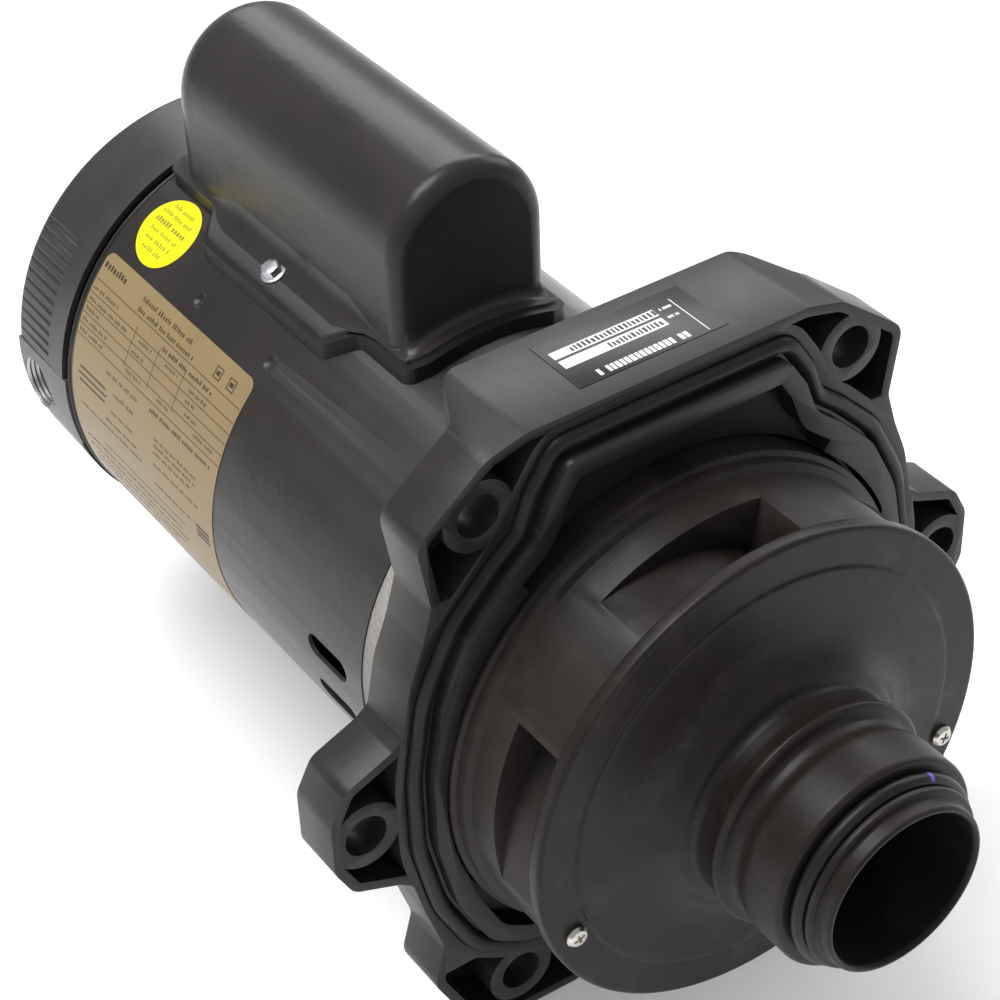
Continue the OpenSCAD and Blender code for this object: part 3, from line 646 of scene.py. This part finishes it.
def bar(bm, angle, height, y_hi, y_lo):
    """A printed bar on the shell: centre angle, height round the shell, and its ends."""
    half = turned(height / 2)
    steps = max(1, int(half))
    columns = [(angle - half + 2 * half * k / steps, y_lo, y_hi) for k in range(steps + 1)]
    curved_strip(bm, columns, INK_LOW_R, INK_HIGH_R)


# parts of a print row's height
BLOCK_WIDTHS, BLOCK_HEIGHTS = (0.42, 0.62), (1.0, 0.72, 0.72, 0.86)
BLOCK_SHARE, BLOCK_STEP, WORD_GAP = 0.85, 1.28, 0.55


def greeked(bm, angle, height, y_hi, y_lo, bold, words=(3, 7)):
    """A row of small blocks that stands for a line of print; words are the fewest and most blocks in one."""
    y = y_hi
    left = random.randint(*words)
    while y - height * 0.5 > y_lo:
        wide = height * random.uniform(*BLOCK_WIDTHS)
        tall = height * random.choice(BLOCK_HEIGHTS)
        bar(bm, angle + turned((height - tall) / 2), tall * BLOCK_SHARE, y, y - wide * bold)
        y -= wide * BLOCK_STEP
        left -= 1
        if left == 0:
            y -= height * WORD_GAP
            left = random.randint(*words)


# rows of small print: centre angle, height, and the y of both ends
ROWS = [(139.1, 2.2, 228, 193), (142.0, 2.0, 228, 187), (145.4, 1.9, 205.8, 170.3), (145.8, 1.6, 257, 237.5),
        (148.9, 1.6, 257, 228), (151.6, 1.5, 257, 247), (154.6, 1.6, 257, 238), (157.5, 1.6, 257, 239),
        (148.4, 1.6, 220, 210), (151.9, 1.6, 222, 213), (157.2, 1.6, 222, 211), (148.2, 1.6, 201, 191),
        (157.2, 1.6, 199, 190), (148.7, 1.7, 183, 170), (151.5, 1.6, 183, 176), (154.5, 1.6, 181, 172),
        (157.2, 1.5, 173, 159.5), (161.0, 1.9, 202, 158), (162.0, 1.8, 233.6, 210), (166.2, 1.8, 227, 210.5),
        (171.5, 1.8, 228, 211.5), (175.0, 1.5, 232, 208), (167.2, 1.5, 196, 166), (169.0, 1.5, 196, 166),
        (171.0, 1.5, 196, 168), (174.5, 1.5, 196, 164), (177.5, 1.5, 252, 205), (180.5, 1.5, 196, 170),
        (188.0, 1.6, 252, 180), (191.0, 1.6, 252, 176), (194.0, 1.6, 250, 182), (197.0, 1.6, 252, 190),
        (202.0, 1.8, 252, 210), (205.5, 1.6, 252, 172), (208.5, 1.6, 252, 178)]
BOLD_ROWS = (145.4, 161.0)


def nameplate_print():
    """Heading, ruled table, rows of print, two approval marks and a few solid bars."""
    bm = bmesh.new()
    greeked(bm, 138.9, 3.1, 257.0, 240.5, 0.72, (9, 9))
    for angle in (143.5, 147.3, 150.2, 153.0, 156.0, 159.0):
        bar(bm, angle, 0.28, 258.2, 154.2)
    for y in (224, 207, 189):
        bar(bm, 151.3, 11.0 * 1.45, y, y - 0.28)
    for angle, height, y_hi, y_lo in ROWS:
        greeked(bm, angle, height, y_hi, y_lo, 0.78 if angle in BOLD_ROWS else 0.6)
    bar(bm, 185.0, 0.3, 237, 176)
    for y in (173, 164):
        bar(bm, 140.3, 4.6, y + 2.2, y + 1.8)
        bar(bm, 140.3, 4.6, y - 1.8, y - 2.2)
        bar(bm, 140.3, 1.6, y + 1.1, y - 1.1)
        for angle in (138.85, 141.75):
            bar(bm, angle, 0.4, y + 2.2, y - 2.2)
    for angle, y_hi, y_lo in ((166.9, 252.5, 233), (168.8, 253.5, 232), (170.7, 252.5, 233)):
        bar(bm, angle, 0.9, y_hi, y_lo)
    for angle in (180.4, 181.8, 183.2):
        bar(bm, angle, 1.2, 166, 157)
    add("nameplate_print", bm, "nameplate_foil", INK, smooth=False)


# the sticker's rows: offset from its centre, height, length and boldness
STICKER_ROWS = [(-9.6, 1.9, 14, 0.6), (-6.1, 1.9, 21, 0.6), (-2.3, 2.7, 21, 0.85),
                (1.7, 2.0, 18, 0.55), (5.3, 2.0, 17, 0.6), (8.9, 2.0, 13, 0.6)]


def sticker_print():
    bm = bmesh.new()
    for off, height, length, bold in STICKER_ROWS:
        y_hi, y_lo = STICKER_Y + length / 2, STICKER_Y - length / 2
        greeked(bm, STICKER_A + turned(off), height, y_hi, y_lo, bold, (4, 7))
    add("sticker_print", bm, "sticker_yellow", INK_OLIVE, smooth=False)


label("nameplate_look", "nameplate_foil", nameplate_columns(), "nameplate")
nameplate_print()
label("sticker_look", "sticker_yellow", sticker_columns(), "round_sticker")
sticker_print()

# ------------------------------------------------------------------ print on the seal plate's label
WHITE_Z, DARK_Z = (125.79, 125.84), (125.83, 125.87)
DARK_GAP = 0.6


def flat_bar(bm, x0, x1, y0, y1, heights):
    """A thin block on the flat label, between two heights."""
    corners = ((x0, y0), (x1, y0), (x1, y1), (x0, y1))
    v = [bm.verts.new(Vector((x, y, z)) * MM) for z in heights for x, y in corners]
    for f in ((3, 2, 1, 0), (4, 5, 6, 7), (0, 1, 5, 4), (1, 2, 6, 5), (2, 3, 7, 6), (3, 0, 4, 7)):
        bm.faces.new([v[i] for i in f])


def plate_label_print():
    """Two white panels, a white rule and three rows of white print."""
    bm = bmesh.new()
    flat_bar(bm, -25.4, 13.7, 24.1, 27.9, WHITE_Z)
    flat_bar(bm, -25.4, 13.3, 18.5, 22.8, WHITE_Z)
    flat_bar(bm, 21.1, 21.4, 8.9, 29.5, WHITE_Z)
    for x, x_end, y, tall in ((-19.0, 15.0, 9.6, 3.2), (15.4, 19.8, 25.8, 1.2), (15.2, 19.8, 21.0, 1.2)):
        while x < x_end - 0.3:
            wide = tall * random.uniform(0.34, 0.5)
            flat_bar(bm, x, x + wide, y, y + tall, WHITE_Z)
            x += wide + tall * random.choice((0.16, 0.16, 0.16, 0.16, 0.7))
    add("plate_label_print", bm, "label_black", INK_WHITE, smooth=False)


def plate_label_dark_print():
    """A row of black print on each white panel."""
    bm = bmesh.new()
    for x, x_end, y, tall in ((-18.5, 12.5, 24.7, 2.7), (-8.0, 12.0, 19.3, 2.7)):
        while x < x_end:
            wide = random.uniform(0.7, 1.15)
            flat_bar(bm, x, x + wide, y, y + tall * random.choice((1.0, 0.8, 1.0)), DARK_Z)
            x += wide + DARK_GAP
    add("plate_label_dark_print", bm, "label_black", INK_BLACK, smooth=False)


plate_label_print()
plate_label_dark_print()

# ------------------------------------------------------------------ thread in the conduit port
PORT_Y, PORT_Z, PORT_R = 289, -9, 10.5
THREAD_X, THREAD_PITCH, THREAD_TURNS = -83.2, 1.8, 9
ROOT_R, CREST_R = 10.42, 9.75
PORT_SEGMENTS = 72


def port_thread():
    """Bare metal thread inside the port, drawn as rings."""
    profile = [(-83.4, PORT_R)]
    for k in range(THREAD_TURNS):
        root = THREAD_X + THREAD_PITCH * k
        profile += [(root, ROOT_R), (root + THREAD_PITCH / 2, CREST_R)]
    profile += [(-66.9, ROOT_R), (-66.6, PORT_R)]
    rows = []
    for i in range(PORT_SEGMENTS):
        a = 2 * math.pi * i / PORT_SEGMENTS
        rows.append([(x, PORT_Y + r * math.cos(a), PORT_Z + r * math.sin(a)) for x, r in profile])
    bm = bmesh.new()
    skin(bm, rows)
    add("port_thread", bm, "rear_frame_alu", metal("port_mat", (0.5, 0.5, 0.5), 0.35, cast=0.2), smooth=False)


port_thread()

# ------------------------------------------------------------------ stage and light, in metres
FLOOR_HALF, FLOOR_GAP = 14, 0.002
SOFTBOX_AIM = (0, 0.1, 0)
bm = bmesh.new()
bmesh.ops.create_grid(bm, x_segments=8, y_segments=8, size=FLOOR_HALF)
mesh = bpy.data.meshes.new("floor")
bm.to_mesh(mesh)
bm.free()
floor = bpy.data.objects.new("floor", mesh)
floor.location = (0, 0, cad_bounds[0][2] - FLOOR_GAP)
bpy.context.scene.collection.objects.link(floor)
n = Nodes("floor_mat")
paint(floor, n.set(Base_Color=n.mix(n.noise(3, 2), (0.86, 0.86, 0.86), (0.88, 0.88, 0.88)), Roughness=0.9,
                   Emission_Color=(1.0, 1.0, 1.0), Emission_Strength=0.2))

world = bpy.data.worlds.new("studio")
world.use_nodes = True
world.node_tree.nodes["Background"].inputs["Color"].default_value = (1, 1, 1, 1)
world.node_tree.nodes["Background"].inputs["Strength"].default_value = 0.5
bpy.context.scene.world = world


def softbox(name, at, size, power):
    """A rectangular area light that faces the part."""
    data = bpy.data.lights.new(name, "AREA")
    data.shape = "RECTANGLE"
    data.size, data.size_y = size
    data.energy = power
    obj = bpy.data.objects.new(name, data)
    bpy.context.scene.collection.objects.link(obj)
    obj.location = at
    obj.rotation_euler = (Vector(SOFTBOX_AIM) - Vector(at)).to_track_quat("-Z", "Y").to_euler()


softbox("key", (-0.6, 0.4, 1.7), (0.9, 1.1), 30)
softbox("back", (0.95, 1.4, 1.35), (1.7, 1.0), 22)
softbox("right", (1.5, 0.3, 0.75), (0.8, 0.8), 5)
bpy.context.scene.view_settings.view_transform = "Standard"
